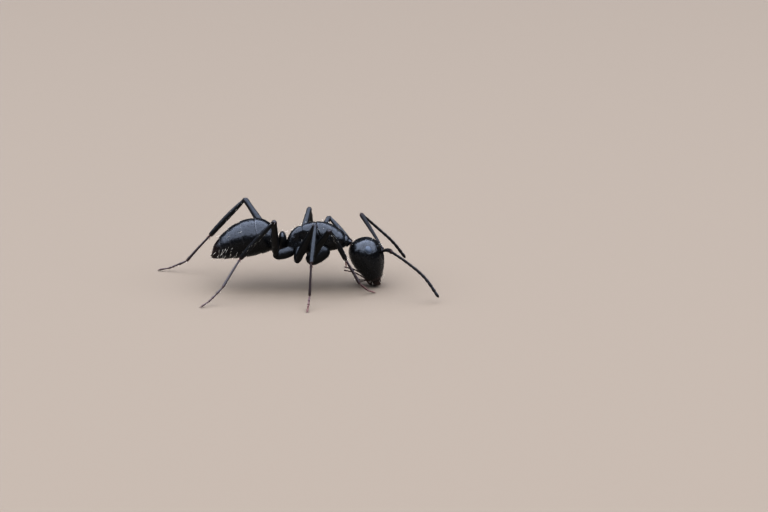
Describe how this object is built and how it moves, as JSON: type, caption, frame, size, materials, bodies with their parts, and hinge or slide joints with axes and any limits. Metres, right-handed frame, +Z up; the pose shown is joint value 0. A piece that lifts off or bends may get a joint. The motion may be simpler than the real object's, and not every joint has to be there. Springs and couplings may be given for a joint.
{
  "type": "carpenter ant model",
  "caption": "Life-size carpenter ant worker standing with its head bent to the ground, legs splayed, elbowed antennae forward.",
  "frame": {"origin": "on the ground plane, under the middle of the ant's outline", "axes": "+X the way the ant faces, +Y its left side, +Z up"},
  "size_m": [0.0182, 0.0148, 0.0053],
  "materials": {
    "cuticle": "silky black, semi-matt",
    "eye": "dark, finely faceted gloss",
    "jaw": "dark red-brown, polished",
    "tarsus": "dark brown, finely haired"
  },
  "bodies": {
    "root": {"antenna_left_scape": "cuticle", "antenna_left_whip_1": "cuticle", "antenna_left_whip_2": "cuticle", "antenna_left_whip_3": "cuticle", "antenna_right_scape": "cuticle", "antenna_right_whip_1": "cuticle", "antenna_right_whip_2": "cuticle", "antenna_right_whip_3": "cuticle", "eye_left": "eye", "eye_right": "eye", "fore_left_coxa": "cuticle", "fore_left_femur": "cuticle", "fore_left_foot": "tarsus", "fore_left_tarsus": "tarsus", "fore_left_tibia": "cuticle", "fore_right_coxa": "cuticle", "fore_right_femur": "cuticle", "fore_right_foot": "tarsus", "fore_right_tarsus": "tarsus", "fore_right_tibia": "cuticle", "gaster_1": "cuticle", "gaster_2": "cuticle", "gaster_3": "cuticle", "gaster_4": "cuticle", "gaster_5": "cuticle", "head": "cuticle", "hind_left_coxa": "cuticle", "hind_left_femur": "cuticle", "hind_left_foot": "tarsus", "hind_left_tarsus": "tarsus", "hind_left_tibia": "cuticle", "hind_right_coxa": "cuticle", "hind_right_femur": "cuticle", "hind_right_foot": "tarsus", "hind_right_tarsus": "tarsus", "hind_right_tibia": "cuticle", "mandible_left": "jaw", "mandible_right": "jaw", "mesonotum": "cuticle", "mid_left_coxa": "cuticle", "mid_left_femur": "cuticle", "mid_left_foot": "tarsus", "mid_left_tarsus": "tarsus", "mid_left_tibia": "cuticle", "mid_right_coxa": "cuticle", "mid_right_femur": "cuticle", "mid_right_foot": "tarsus", "mid_right_tarsus": "tarsus", "mid_right_tibia": "cuticle", "mouthparts": "jaw", "palp_left": "jaw", "palp_right": "jaw", "petiole": "cuticle", "pronotum": "cuticle", "propodeum": "cuticle"}
  },
  "joints": []
}
